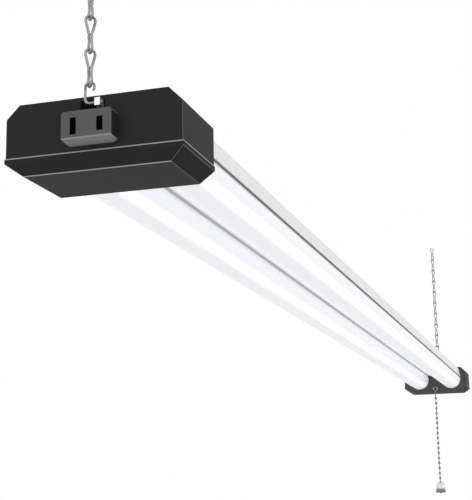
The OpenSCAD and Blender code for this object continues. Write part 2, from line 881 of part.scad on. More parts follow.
module pull_eyelet() {
    edge = eyelet_flange_h / 3;
    color(CHROME) placed() translate([0, cap_in_y, eyelet_z]) {
        rotate([90, 0, 0]) rotate_extrude()
            polygon([[eyelet_bore_r, -cap_wall], [eyelet_r, -cap_wall], [eyelet_r, 0],
                [eyelet_flange_r, 0], [eyelet_flange_r, 2 * edge],
                [eyelet_flange_r - edge, 3 * edge],
                [eyelet_bore_r + edge, 3 * edge], [eyelet_bore_r, 2 * edge]]);
        both_sides() translate([bead_r + cheek_gap, chain_y - cap_in_y, -cheek_h / 2])
            cube([cheek_t, cap_in_y - chain_y - eyelet_flange_h / 2, cheek_h]);
    }
}

module bead_string(count) {
    for (i = [0:count - 1]) translate([0, 0, -i * bead_pitch]) sphere(r = bead_r);
    if (count > 1) translate([0, 0, -(count - 1) * bead_pitch])
        cylinder(r = bead_wire_r, h = (count - 1) * bead_pitch);
}

module pull_chain_inner() {
    color(CHROME) placed() translate([0, chain_y + bead_pitch, eyelet_z]) rotate([90, 0, 0])
        bead_string(inner_beads);
}

module pull_chain_lead() {
    color(CHROME) placed() translate([0, chain_y, eyelet_z]) {
        sphere(r = bead_r);
        translate([0, 0, -bead_pitch + bead_r + link_gap])
            cylinder(r = bead_wire_r, h = bead_pitch - bead_r - link_gap);
    }
}

module pull_chain() {
    color(CHROME) placed() translate([0, chain_y, 0]) {
        translate([0, 0, eyelet_z - bead_pitch]) bead_string(bead_count);
        translate([0, 0, ball_z]) cylinder(r = bead_wire_r, h = last_bead_z - ball_z);
        translate([0, 0, ball_z]) sphere(r = ball_r);
    }
}

// The bell's outline from the neck to the mouth, at a distance inset inside the outer skin
function bell_side(inset) = let (
        dome_r = bell_dome_share * bell_r - inset,
        dome_h = bell_dome_h_share * bell_h - inset)
    concat(
        [for (i = [1:bell_steps]) let (a = 90 - 90 * i / bell_steps)
            [bell_neck_r * (1 - i / bell_steps) * sin(a) + dome_r * cos(a),
                -bell_dome_h_share * bell_h + dome_h * sin(a)]],
        [[dome_r, -bell_side_h_share * bell_h], [bell_r - inset, -bell_h]]);

module pull_bell() {
    outer = bell_side(0);
    inner = bell_side(bell_wall);
    color(CHROME) placed() translate([0, chain_y, bell_top_z]) rotate_extrude()
        polygon(concat([[bell_hole_r, 0], [bell_neck_r, 0]], outer,
            [for (i = [len(inner) - 1:-1:0]) inner[i]], [[bell_hole_r, -bell_wall]]));
}

housing();
reflector_tray();
led_board(-1);  // led_board_left
led_board(1);  // led_board_right
led_chips(-1);  // led_chips_left
led_chips(1);  // led_chips_right
board_jumper();
diffuser(-1);  // diffuser_left
diffuser(1);  // diffuser_right
driver_insulator();
driver_board();
driver_parts();
driver_leads();
supply_wires();
near_cap_shell();
near_cap_base();
far_cap_shell();
far_cap_base();
near_cap_screws();
far_cap_screws();
outlet_insert();
outlet_contact(slot_pitch / 2);  // outlet_contact_live
outlet_contact(-slot_pitch / 2);  // outlet_contact_neutral
near_hanger();
far_hanger();
hanger_rivets();
near_hook();
far_hook();
near_chain();
far_chain();
near_second_link();
far_second_link();
near_top_link();
far_top_link();
cord_gland();
gland_nut();
terminal_block();
switch_case();
switch_drum();
switch_spring();
switch_tabs();
pull_eyelet();
pull_chain_inner();
pull_chain_lead();
pull_chain();
pull_bell();
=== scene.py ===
"""The looks of the hanging shop light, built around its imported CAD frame."""

import math

import bpy
from mathutils import Matrix, Vector


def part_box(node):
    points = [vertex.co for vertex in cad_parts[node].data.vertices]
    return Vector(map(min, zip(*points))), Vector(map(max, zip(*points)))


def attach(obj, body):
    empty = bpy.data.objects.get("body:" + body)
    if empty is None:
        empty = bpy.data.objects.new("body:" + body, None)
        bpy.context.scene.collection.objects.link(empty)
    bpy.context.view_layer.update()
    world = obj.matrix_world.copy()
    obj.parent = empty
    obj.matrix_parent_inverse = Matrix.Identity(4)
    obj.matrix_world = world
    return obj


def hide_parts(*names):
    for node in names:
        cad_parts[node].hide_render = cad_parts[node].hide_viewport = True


bl_info = {
    "name": "Hanging shop light",
    "version": (1, 0, 0),
    "blender": (4, 5, 0),
    "location": "View3D > Sidebar > Shop light",
    "description": "Builds a chain-hung twin-tube shop light with an outlet and a pull chain",
    "category": "Object",
}

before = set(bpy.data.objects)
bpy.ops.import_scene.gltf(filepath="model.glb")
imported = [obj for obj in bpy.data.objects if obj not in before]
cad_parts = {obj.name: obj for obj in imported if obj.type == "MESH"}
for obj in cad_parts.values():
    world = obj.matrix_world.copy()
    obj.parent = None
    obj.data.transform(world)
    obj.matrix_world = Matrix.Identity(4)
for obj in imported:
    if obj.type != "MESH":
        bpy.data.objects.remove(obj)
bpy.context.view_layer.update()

MM = 0.001


def middle(node, axis):
    """The middle of a CAD node's box along one axis."""
    low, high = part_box(node)
    return (getattr(low, axis) + getattr(high, axis)) / 2


# The caps' flat bottom, top, rims, inner walls and upper halves, in the frame
BOTTOM_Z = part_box("near_cap_base")[0].z
TOP_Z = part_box("near_cap_shell")[1].z
RIM_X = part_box("near_cap_base")[1].x
RIM_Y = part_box("far_cap_base")[1].y
INNER_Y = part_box("far_cap_base")[0].y
SHELL_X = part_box("near_cap_shell")[1].x
SHELL_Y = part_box("far_cap_shell")[1].y
# The tubes' axes, the channel's lower edge, the hooks and the pull chain
TUBE_X = middle("diffuser_right", "x")
TUBE_R = (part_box("diffuser_right")[1].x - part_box("diffuser_right")[0].x) / 2
TUBE_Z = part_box("diffuser_right")[0].z + TUBE_R
CHANNEL_FOOT_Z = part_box("housing")[0].z
HOOK_Y = middle("far_top_link", "y")
CHAIN_Y = middle("pull_bell", "y")
EYELET_Z = middle("pull_eyelet", "z")

# Sizes that the part's source has too: the rim and its slopes, the beads and the ball
RIM_H = 8 * MM
RIM_BAND = 2.4 * MM
BEVEL_X = 7.6 * MM
BEVEL_Y = 4.6 * MM
BEAD_R = 1.8 * MM
BEAD_WIRE_R = 0.6 * MM
BEAD_PITCH = 6.8 * MM
BEAD_COUNT = 18
BALL_R = 3 * MM

# Points closer than this are one
MERGE = 0.002 * MM
BLACK = (0.0, 0.0, 0.0, 1.0)


def linear(level):
    """The linear value of an sRGB level of 0 to 255."""
    v = level / 255
    return v / 12.92 if v <= 0.04045 else ((v + 0.055) / 1.055) ** 2.4


def rgb(r, g, b):
    """A linear colour from three sRGB levels."""
    return (linear(r), linear(g), linear(b), 1.0)


def grey(level):
    """A linear grey from one sRGB level."""
    return rgb(level, level, level)


# Settings


def colour_setting(name, description, default):
    return bpy.props.FloatVectorProperty(
        name=name, description=description, subtype="COLOR", size=4, min=0, max=1,
        default=default)


def length_setting(name, description, low, high, default):
    return bpy.props.FloatProperty(
        name=name, description=description, subtype="DISTANCE", unit="LENGTH",
        min=low, max=high, default=default)


def light_setting(name, description, high, default):
    return bpy.props.FloatProperty(
        name=name, description=description, min=0, max=high, default=default)


class FinishSettings(bpy.types.PropertyGroup):
    """Colours of the light"""

    # The caps' ends and sides stay close to the plastic's own grey; the side slopes are painted
    # shade, the end slopes a little lighter, and the inner walls painted lighter as painted light
    cap_dark: colour_setting("Cap end", "Colour of the caps' ends", grey(42))
    cap_side_slope_shade: colour_setting(
        "Cap slope", "Colour of the slopes beside the caps' flat bottoms", grey(21))
    cap_front_slope: colour_setting(
        "Cap end slope", "Colour of the slope under each cap's end", grey(40))
    cap_inner_lit: colour_setting(
        "Cap inner wall", "Colour of the walls where channel and tubes enter", grey(82))
    cap_light: colour_setting(
        "Cap side", "Colour of the caps' sides and flat bottoms", grey(43))
    # Painted highlights: the colours of the bright and dim lines along the caps' edges
    cap_highlight: colour_setting("Cap edge", "Colour of the rubbed main edges", grey(160))
    cap_faint_highlight: colour_setting(
        "Cap minor edge", "Colour of the less rubbed edges", grey(88))
    outlet: colour_setting("Outlet", "Colour of the outlet's face", grey(96))
    # Painted light: the outlet's slope is painted paler than its face
    outlet_lit_slope: colour_setting(
        "Outlet slope", "Colour of the slope under the outlet's face", grey(138))
    paint: colour_setting("Paint", "Colour of the channel's paint", rgb(248, 248, 247))
    milk: colour_setting("Tubes", "Colour of the milky tubes", rgb(241, 241, 244))
    chain: colour_setting("Chain", "Colour of the chains' steel", grey(170))
    glow: light_setting("Glow", "Strength of the tubes' own light", 2, 0.26)


class LinkSettings(bpy.types.PropertyGroup):
    """Sizes of the chains' links"""

    pitch: length_setting(
        "Pitch", "Distance between two links", 10 * MM, 30 * MM, 16 * MM)
    wire: length_setting(
        "Wire", "Thickness of the links' wire", 0.8 * MM, 2 * MM, 1.3 * MM)
    width: length_setting(
        "Width", "Width of a link's loop over the wire", 4 * MM, 10 * MM, 6 * MM)


class StageSettings(bpy.types.PropertyGroup):
    """Floor and lamps"""

    floor_drop: length_setting(
        "Floor", "Depth of the floor below the ceiling hooks", 0.4, 3, 0.95)
    sky: light_setting("Sky", "Level of the even light", 2, 0.78)
    key: light_setting("Key", "Level of the light from the right", 5, 0.15)
    fill: light_setting("Fill", "Level of the light from the front", 5, 0.12)


# Making meshes


def deselect():
    active = bpy.context.view_layer.objects.active
    if active is not None and active.mode != "OBJECT":
        bpy.ops.object.mode_set(mode="OBJECT")
    bpy.ops.object.select_all(action="DESELECT")


def use(obj):
    """Makes obj the one selected and active object."""
    deselect()
    obj.select_set(True)
    bpy.context.view_layer.objects.active = obj


def added(primitive, **values):
    """What an add operator makes, with nothing else selected."""
    deselect()
    primitive(**values)
    return bpy.context.view_layer.objects.active


def edit(obj, chosen=None):
    """Opens obj in edit mode with the faces whose centre and normal pass chosen selected."""
    use(obj)
    bpy.ops.object.mode_set(mode="EDIT")
    bpy.ops.mesh.select_mode(type="FACE")
    bpy.ops.mesh.select_all(action="DESELECT" if chosen else "SELECT")
    if chosen:
        bpy.ops.object.mode_set(mode="OBJECT")
        for face in obj.data.polygons:
            face.select = bool(chosen(face.center, face.normal))
        bpy.ops.object.mode_set(mode="EDIT")


def close():
    bpy.ops.object.mode_set(mode="OBJECT")


def apply(obj, kind, **values):
    """Adds a modifier with the given values and applies it."""
    use(obj)
    modifier = obj.modifiers.new(kind.title(), kind)
    for key, value in values.items():
        setattr(modifier, key, value)
    bpy.ops.object.modifier_apply(modifier=modifier.name)


def smooth(obj, degrees=35):
    """Shades obj smooth, but for edges that turn by more than degrees."""
    use(obj)
    bpy.ops.object.shade_smooth_by_angle(angle=math.radians(degrees))


def settle(obj):
    """Puts obj's place into its mesh."""
    use(obj)
    bpy.ops.object.transform_apply(location=True, rotation=True, scale=True)
    return obj


def join(parts, name):
    """Makes the parts one object."""
    deselect()
    for part in parts:
        part.select_set(True)
    bpy.context.view_layer.objects.active = parts[0]
    if len(parts) > 1:
        bpy.ops.object.join()
    parts[0].name = name
    return parts[0]


def shift(x, y, z):
    """The matrix that moves by x, y and z."""
    return Matrix.Translation((x, y, z))


def twin(obj, place, name="twin"):
    """A copy of obj with its own mesh, moved by a matrix."""
    copy = bpy.data.objects.new(name, obj.data.copy())
    bpy.context.scene.collection.objects.link(copy)
    copy.data.transform(place)
    return copy


def recast(node, name, bevel=0.0, degrees=30, segments=2):
    """A merged copy of a CAD node, its edges rounded."""
    flat_degrees = 0.4
    copy = twin(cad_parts[node], Matrix.Identity(4), name)
    copy.data.materials.clear()
    edit(copy)
    bpy.ops.mesh.remove_doubles(threshold=MERGE)
    bpy.ops.mesh.dissolve_limited(angle_limit=math.radians(flat_degrees))
    close()
    if bevel:
        apply(copy, "BEVEL", width=bevel, segments=segments, limit_method="ANGLE",
              angle_limit=math.radians(degrees), use_clamp_overlap=True)
    smooth(copy, degrees)
    apply(copy, "WEIGHTED_NORMAL", keep_sharp=True, weight=100)
    return copy


def wire(points, radius, name, closed=False):
    """A round wire along points, made a mesh."""
    curve = bpy.data.curves.new(name, "CURVE")
    curve.dimensions = "3D"
    curve.bevel_depth = radius
    curve.bevel_resolution = 3
    curve.use_fill_caps = not closed
    line = curve.splines.new("POLY")
    line.points.add(len(points) - 1)
    for point, place in zip(line.points, points):
        point.co = (*place, 1)
    line.use_cyclic_u = closed
    obj = bpy.data.objects.new(name, curve)
    bpy.context.scene.collection.objects.link(obj)
    use(obj)
    bpy.ops.object.convert(target="MESH")
    obj = bpy.context.view_layer.objects.active
    obj.name = name
    smooth(obj, degrees=50)
    return obj


def lathe(profile, name, steps):
    """A profile of (radius, height) pairs, spun about Z."""
    obj = added(bpy.ops.mesh.primitive_plane_add, size=MM)
    obj.name = name
    edit(obj)
    bpy.ops.mesh.delete(type="VERT")
    close()
    obj.data.from_pydata([(r, 0, z) for r, z in profile],
                         [(i, i + 1) for i in range(len(profile) - 1)], [])
    use(obj)
    bpy.ops.object.mode_set(mode="EDIT")
    bpy.ops.mesh.select_all(action="SELECT")
    bpy.ops.mesh.spin(steps=steps, angle=2 * math.pi, center=(0, 0, 0), axis=(0, 0, 1))
    bpy.ops.mesh.select_all(action="SELECT")
    bpy.ops.mesh.remove_doubles(threshold=MERGE)
    bpy.ops.mesh.normals_make_consistent(inside=False)
    close()
    smooth(obj, degrees=40)
    return obj


def show(obj, body, slot, finish, *nodes):
    """Gives a finished piece its body and its material, and hides the CAD nodes it stands for;
    the slot is not used.
    """
    obj.data.materials.clear()
    obj.data.materials.append(finish)
    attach(obj, body)
    if nodes:
        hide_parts(*nodes)


def paint_node(node, finish):
    """Gives a CAD node that stays its material."""
    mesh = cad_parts[node].data
    mesh.materials.clear()
    mesh.materials.append(finish)


# Making materials


class Nodes:
    """Short calls for one node tree."""

    def __init__(self, tree):
        self.tree = tree

    def add(self, kind, **values):
        node = self.tree.nodes.new(kind)
        for key, value in values.items():
            setattr(node, key, value)
        return node

    def put(self, socket, value):
        """Links a socket, or sets a constant."""
        if isinstance(value, bpy.types.NodeSocket):
            self.tree.links.new(value, socket)
        else:
            socket.default_value = value

    def math(self, operation, a, b=0.0, clamp=False):
        node = self.add("ShaderNodeMath", operation=operation, use_clamp=clamp)
        self.put(node.inputs[0], a)
        self.put(node.inputs[1], b)
        return node.outputs[0]

    def plus(self, a, b, clamp=False):
        return self.math("ADD", a, b, clamp)

    def minus(self, a, b):
        return self.math("SUBTRACT", a, b)

    def times(self, a, b):
        return self.math("MULTIPLY", a, b)

    def unsigned(self, a):
        return self.math("ABSOLUTE", a)

    def over(self, value, limit):
        """1 where value is over limit."""
        return self.math("GREATER_THAN", value, limit)

    def under(self, value, limit):
        """1 where value is under limit."""
        return self.math("LESS_THAN", value, limit)

    def between(self, value, low, high):
        """1 where value is between low and high."""
        return self.times(self.over(value, low), self.under(value, high))

    def both(self, *masks):
        """1 where all masks are 1."""
        result = masks[0]
        for mask in masks[1:]:
            result = self.times(result, mask)
        return result

    def either(self, *masks):
        """The highest of the masks."""
        result = masks[0]
        for mask in masks[1:]:
            result = self.math("MAXIMUM", result, mask)
        return result

    def fade(self, value, start, end, kind="SMOOTHSTEP"):
        """0 where value is at start, 1 where it is at end."""
        node = self.add("ShaderNodeMapRange", interpolation_type=kind)
        for socket, number in zip(node.inputs, (value, start, end, 0.0, 1.0)):
            self.put(socket, number)
        return node.outputs[0]

    def mix(self, factor, a, b, blend="MIX"):
        node = self.add("ShaderNodeMix", data_type="RGBA", blend_type=blend)
        self.put(node.inputs[0], factor)
        self.put(node.inputs[6], a)
        self.put(node.inputs[7], b)
        return node.outputs[2]

    def noise(self, place, scale, detail=4.0, rough=0.55):
        node = self.add("ShaderNodeTexNoise")
        self.put(node.inputs["Vector"], place)
        self.put(node.inputs["Scale"], scale)
        self.put(node.inputs["Detail"], detail)
        self.put(node.inputs["Roughness"], rough)
        return node.outputs[0]

    def place(self):
        """A point's place in the frame."""
        return self.add("ShaderNodeTexCoord").outputs["Object"]

    def axes(self):
        """A point's x, y and z in the frame."""
        split = self.add("ShaderNodeSeparateXYZ")
        self.put(split.inputs[0], self.place())
        return tuple(split.outputs)


def reopen(material):
    """A material's nodes and its shader."""
    return Nodes(material.node_tree), material.node_tree.nodes["Principled BSDF"]


def new_material(name):
    """A new material, its nodes and its shader."""
    material = bpy.data.materials.new(name)
    material.use_nodes = True
    return material, *reopen(material)


def group(name, inputs, outputs):
    """A node group with float inputs and outputs: its nodes, input sockets and output sockets."""
    tree = bpy.data.node_groups.new(name, "ShaderNodeTree")
    for label, value in inputs.items():
        socket = tree.interface.new_socket(
            name=label, in_out="INPUT", socket_type="NodeSocketFloat")
        socket.default_value = value
    for label in outputs:
        tree.interface.new_socket(name=label, in_out="OUTPUT", socket_type="NodeSocketFloat")
    make = Nodes(tree)
    into = make.add("NodeGroupInput")
    out = make.add("NodeGroupOutput")
    return make, into.outputs, out.inputs


def make_grain():
    """Fine grain: a shade near 1, a height, and a roughness that varies."""
    make, into, out = group(
        "fine_grain", {"Scale": 900.0, "Shade": 0.06, "Rough": 0.5, "Rough spread": 0.08},
        ("Shade", "Height", "Rough"))
    fine_share = 0.6
    place = make.place()
    fine = make.noise(place, into["Scale"])
    broad = make.noise(place, scale=14.0, detail=3.0)
    blend = make.plus(make.times(fine, fine_share), make.times(broad, 1 - fine_share))
    centred = make.minus(blend, 0.5)
    make.put(out["Shade"], make.plus(make.times(centred, into["Shade"]), 1.0))
    make.put(out["Height"], fine)
    spread = make.times(centred, into["Rough spread"])
    make.put(out["Rough"], make.plus(spread, into["Rough"], clamp=True))
    return make.tree


def make_wear():
    """Scratches along one way and dull spots on bare metal."""
    make, into, out = group(
        "metal_wear", {"Scale": 300.0, "Amount": 0.2, "Rough": 0.25},
        ("Shade", "Height", "Rough"))
    place = make.place()
    stretch = make.add("ShaderNodeMapping")
    make.put(stretch.inputs["Vector"], place)
    stretch.inputs["Scale"].default_value = (6.0, 6.0, 0.6)
    lines = make.noise(stretch.outputs[0], into["Scale"], detail=3.0)
    spots = make.noise(place, scale=160.0, detail=5.0, rough=0.7)
    dull = make.fade(spots, start=0.45, end=0.7, kind="LINEAR")
    make.put(out["Shade"], make.minus(1.0, make.times(dull, into["Amount"])))
    make.put(out["Height"], lines)
    extra = make.times(make.plus(dull, lines), into["Amount"])
    make.put(out["Rough"], make.plus(into["Rough"], extra, clamp=True))
    return make.tree


def make_cap_zones():
    """Masks of a cap for its painted light and shade: end, slopes, inner wall, what faces ahead,
    and the bright and dim painted highlights on its edges.
    """
    make, _, out = group("cap_zones", {}, ("End", "Slope", "Inner", "Ahead", "Bright", "Dim"))
    band_z = RIM_H - RIM_BAND
    foot_x = RIM_X - BEVEL_X
    foot_y = RIM_Y - BEVEL_Y
    # How deep a wall's skin is, how high the flat bottom goes, and how wide an edge is
    skin = 0.15 * MM
    flat = 0.12 * MM
    edge = 0.3 * MM
    x, y, z = make.axes()
    ax = make.unsigned(x)
    ay = make.unsigned(y)
    z = make.minus(z, BOTTOM_Z)
    side = make.over(ax, SHELL_X - skin)
    end = make.over(ay, SHELL_Y - skin)
    outer = make.either(side, end)
    away = make.over(ay, INNER_Y + edge)
    make.put(out["Inner"], make.minus(1.0, away))
    make.put(out["End"], make.both(end, make.over(z, edge), away))
    below_rim = make.either(outer, make.between(z, flat, band_z))
    make.put(out["Slope"], make.both(make.between(z, flat, RIM_H), below_rim, away))
    across_x = make.math("DIVIDE", make.minus(ax, foot_x), BEVEL_X)
    across_y = make.math("DIVIDE", make.minus(ay, foot_y), BEVEL_Y)
    make.put(out["Ahead"], make.over(across_y, make.either(across_x, 0.0)))

    # Bright painted highlights: the rim, and the line between the end slope and the flat bottom
    under_rim, over_rim = 0.62 * MM, 0.12 * MM
    rim = make.both(make.between(z, RIM_H - under_rim, RIM_H + over_rim), outer)
    line_inside, line_h, line_past = 0.35 * MM, 0.5 * MM, 0.2 * MM
    foot_end = make.both(make.between(ay, foot_y - line_inside, foot_y + edge),
                         make.under(z, line_h), make.under(ax, foot_x + line_past))
    make.put(out["Bright"], make.both(make.either(rim, foot_end), away))

    # Dim painted highlights: the bottom's sides, the rim band's lower edge, the uprights and the
    # corners
    side_inside, side_outside, side_h = 0.2 * MM, 0.25 * MM, 0.35 * MM
    foot_side = make.both(make.between(ax, foot_x - side_inside, foot_x + side_outside),
                          make.under(z, side_h), make.under(ay, foot_y + edge))
    under_band, over_band = 0.25 * MM, 0.15 * MM
    band = make.both(make.between(z, band_z - under_band, band_z + over_band), side)
    upright = make.both(make.over(ax, SHELL_X - edge), make.over(ay, SHELL_Y - edge),
                        make.over(z, RIM_H))
    corner_share, start_share, corner_low = 0.05, 0.02, 0.1 * MM
    on_corner = make.under(make.unsigned(make.minus(across_x, across_y)), corner_share)
    corner = make.both(on_corner, make.between(z, corner_low, band_z),
                       make.over(across_x, start_share))
    make.put(out["Dim"], make.both(make.either(foot_side, band, upright, corner), away))
    return make.tree


class Finishes:
    """Every material of the light, built once."""

    def __init__(self, colours):
        self.grain = make_grain()
        self.wear = make_wear()
        self.zones = make_cap_zones()
        self.cap = self.cap_plastic(colours)
        self.outlet = self.outlet_plastic(colours)
        self.paint = self.white_paint("channel_paint", colours)
        self.tray = self.tray_paint_light_and_shade(colours)
        self.tube = self.milky(colours)
        self.chain = self.metal("chain_steel", colours.chain, rough=0.3, amount=0.3)
        self.zinc = self.metal("bright_zinc", rgb(242, 242, 243), rough=0.3, amount=0.12)
        self.bead = self.bead_metal()
        self.bell = self.bell_metal()
        self.eyelet = self.eyelet_metal()
        self.brass = self.metal("contact_brass", rgb(200, 160, 90), rough=0.3, amount=0.25)
        self.board = self.painted(
            "board_lacquer", rgb(240, 240, 236), rough=0.3, scale=700.0, shade=0.02)
        self.phosphor = self.painted(
            "chip_phosphor", rgb(238, 214, 120), rough=0.5, scale=1500.0, shade=0.05)
        self.ivory = self.painted(
            "ivory_plastic", rgb(228, 224, 206), rough=0.45, scale=900.0, shade=0.03)
        self.green = self.painted(
            "driver_lacquer", rgb(34, 92, 48), rough=0.3, scale=600.0, shade=0.08)
        self.dark = self.painted(
            "driver_cans", rgb(52, 54, 60), rough=0.4, scale=800.0, shade=0.06)
        self.rubber = self.painted(
            "wire_sleeve", grey(26), rough=0.5, scale=900.0, shade=0.06)

    def textured(self, make, shader, tree, strength, distance, **values):
        """Places a grain or wear group with its bump and roughness, and returns its shade."""
        node = make.add("ShaderNodeGroup", node_tree=tree)
        for label, value in values.items():
            node.inputs[label].default_value = value
        bump = make.add("ShaderNodeBump")
        bump.inputs["Strength"].default_value = strength
        bump.inputs["Distance"].default_value = distance
        make.put(bump.inputs["Height"], node.outputs["Height"])
        make.put(shader.inputs["Normal"], bump.outputs[0])
        make.put(shader.inputs["Roughness"], node.outputs["Rough"])
        return node.outputs["Shade"]

    def grained(self, make, shader, scale, shade, rough, height):
        return self.textured(make, shader, self.grain, strength=height, distance=0.05 * MM,
                             Scale=scale, Shade=shade, Rough=rough)

    def shaded(self, make, base, shade):
        """Base darkened by a shade."""
        tint = make.add("ShaderNodeCombineColor")
        for socket in tint.inputs:
            make.put(socket, shade)
        return make.mix(1.0, base, tint.outputs[0], "MULTIPLY")

    def recolour(self, make, shader, mask, new):
        """Puts a new colour over a shader's base colour where mask is 1."""
        base = shader.inputs["Base Color"].links[0].from_socket
        make.put(shader.inputs["Base Color"], make.mix(mask, base, new))

    def painted(self, name, base, rough, scale, shade):
        """Paint, lacquer or plastic of one colour."""
        material, make, shader = new_material(name)
        tone = self.grained(make, shader, scale=scale, shade=shade, rough=rough, height=0.15)
        make.put(shader.inputs["Base Color"], self.shaded(make, tuple(base), tone))
        shader.inputs["Specular IOR Level"].default_value = 0.4
        return material

    def white_paint(self, name, colours):
        return self.painted(name, colours.paint, rough=0.38, scale=500.0, shade=0.012)

    def tray_paint_light_and_shade(self, colours):
        """Painted light along the middle, as a glow from the tubes, and painted shade beside each
        tube.
        """
        material = self.white_paint("tray_paint_light_and_shade", colours)
        make, shader = reopen(material)
        ax = make.unsigned(make.axes()[0])
        # Painted shade beside each tube; a painted glow on the rest of the tray
        dark = make.both(make.fade(ax, start=6.8 * MM, end=8.4 * MM), make.under(ax, TUBE_X))
        self.recolour(make, shader, dark, rgb(190, 190, 193))
        make.put(shader.inputs["Emission Color"], make.mix(dark, rgb(236, 238, 244), BLACK))
        shader.inputs["Emission Strength"].default_value = 0.16
        return material

    def metal(self, name, base, rough, amount):
        """Bare metal of one colour, worn by an amount."""
        material, make, shader = new_material(name)
        tone = self.textured(make, shader, self.wear, strength=0.08, distance=0.03 * MM,
                             Amount=amount, Rough=rough)
        make.put(shader.inputs["Base Color"], self.shaded(make, tuple(base), tone))
        shader.inputs["Metallic"].default_value = 1.0
        return material

    def bead_metal(self):
        """Bead steel, with painted shade on the ball under the bell and on the bead in the
        eyelet.
        """
        material = self.metal("bead_steel", rgb(150, 150, 152), rough=0.24, amount=0.2)
        make, shader = reopen(material)
        z = make.axes()[2]
        bell_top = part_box("pull_bell")[1].z
        # Between these heights the beads stay pale; above and below them lies the painted shade
        string_foot = bell_top - 2 * MM
        string_top = bell_top + 124 * MM
        dark = make.either(make.under(z, string_foot), make.over(z, string_top))
        self.recolour(make, shader, dark, rgb(66, 66, 68))
        return material

    def bell_metal(self):
        """Bright on the dome, with painted shade on the neck and towards the mouth."""
        material = self.metal("bell_steel", rgb(224, 224, 226), rough=0.16, amount=0.15)
        make, shader = reopen(material)
        low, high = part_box("pull_bell")
        neck_share = 0.97
        rise = make.math("DIVIDE", make.minus(make.axes()[2], low.z), high.z - low.z)
        # Painted shade towards the mouth and on the neck
        mouth = make.fade(rise, start=0.5, end=0.22)
        dark = make.either(mouth, make.over(rise, neck_share))
        self.recolour(make, shader, dark, rgb(120, 120, 122))
        return material

    def eyelet_metal(self):
        """Bright on the eyelet's ring, with painted shade in its bore."""
        material = self.metal("eyelet_metal", rgb(244, 244, 245), rough=0.3, amount=0.1)
        make, shader = reopen(material)
        ring_h, bore_r = 1.05 * MM, 2.15 * MM
        x, y, z = make.axes()
        dz = make.minus(z, EYELET_Z)
        reach = make.math("SQRT", make.plus(make.times(x, x), make.times(dz, dz)))
        # Painted shade in the bore
        bore = make.both(make.over(y, INNER_Y - ring_h), make.under(reach, bore_r))
        self.recolour(make, shader, bore, grey(52))
        return material

    def cap_plastic(self, colours):
        """Dark plastic: each zone of the cap in its own grey of painted light and shade, with
        painted highlights on the edges.
        """
        material, make, shader = new_material("cap_plastic")
        tone = self.grained(make, shader, scale=1400.0, shade=0.16, rough=0.62, height=0.35)
        zone = make.add("ShaderNodeGroup", node_tree=self.zones).outputs
        # Painted shade on the slopes, painted light on the inner wall, painted highlights on the
        # edges
        slope = make.mix(zone["Ahead"], tuple(colours.cap_side_slope_shade),
                         tuple(colours.cap_front_slope))
        base = make.mix(zone["End"], tuple(colours.cap_light), tuple(colours.cap_dark))
        base = make.mix(zone["Slope"], base, slope)
        base = make.mix(zone["Inner"], base, tuple(colours.cap_inner_lit))
        base = make.mix(zone["Dim"], base, tuple(colours.cap_faint_highlight))
        base = make.mix(zone["Bright"], base, tuple(colours.cap_highlight))
        make.put(shader.inputs["Base Color"], self.shaded(make, base, tone))
        shader.inputs["Specular IOR Level"].default_value = 0.12
        return material

    def outlet_plastic(self, colours):
        """Grey on the face, with painted light and shade: paler on the slope under it, a
        highlight line at the slope's top, dark sides, and black inside the slots.
        """
        material, make, shader = new_material("outlet_plastic")
        tone = self.grained(make, shader, scale=1400.0, shade=0.1, rough=0.55, height=0.25)
        low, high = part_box("outlet_insert")
        # Heights over the cap's flat bottom, the bright line, and depths from face and sides
        slope_low, slope_top = 9.4 * MM, 12 * MM
        slot_low, slot_top = 12.9 * MM, 23.2 * MM
        line_half, line_d = 0.3 * MM, 0.6 * MM
        slot_d, slot_side, side_skin = 0.35 * MM, 1.2 * MM, 0.06 * MM
        x, y, z = make.axes()
        ax = make.unsigned(x)
        deep = make.minus(y, low.y)
        z = make.minus(z, BOTTOM_Z)
        slope = make.between(z, slope_low, slope_top)
        line = make.both(make.between(z, slope_top - line_half, slope_top + line_half),
                         make.under(deep, line_d))
        side = make.over(ax, high.x - side_skin)
        inside = make.both(make.over(deep, slot_d), make.under(ax, high.x - slot_side),
                           make.between(z, slot_low, slot_top))
        # Painted light and shade: the slope paler, a highlight line at its top, the sides in
        # shade, and the slots black with shade
        base = make.mix(slope, tuple(colours.outlet), tuple(colours.outlet_lit_slope))
        base = make.mix(line, base, tuple(colours.cap_highlight))
        base = make.mix(side, base, tuple(colours.cap_dark))
        base = make.mix(inside, base, grey(14))
        make.put(shader.inputs["Base Color"], self.shaded(make, base, tone))
        shader.inputs["Specular IOR Level"].default_value = 0.15
        return material

    def milky(self, colours):
        """Frosted plastic, lit from within by the row of chips above it, with two painted
        brighter streaks of glow and painted shade where it goes up inside the channel's walls.
        """
        material, make, shader = new_material("milky_tube")
        tone = self.grained(make, shader, scale=700.0, shade=0.02, rough=0.4, height=0.08)
        x, _, z = make.axes()
        dx = make.minus(make.unsigned(x), TUBE_X)
        dz = make.minus(z, TUBE_Z)
        # Painted light: the two brightest streaks stand 45 degrees to each side of straight down
        lean = math.radians(45)
        aside, below = math.sin(lean) / TUBE_R, math.cos(lean) / TUBE_R
        down = make.times(dz, -below)
        facing = make.either(make.plus(make.times(dx, -aside), down),
                             make.plus(make.times(dx, aside), down))
        painted_streak = make.fade(facing, start=0.945, end=0.995)
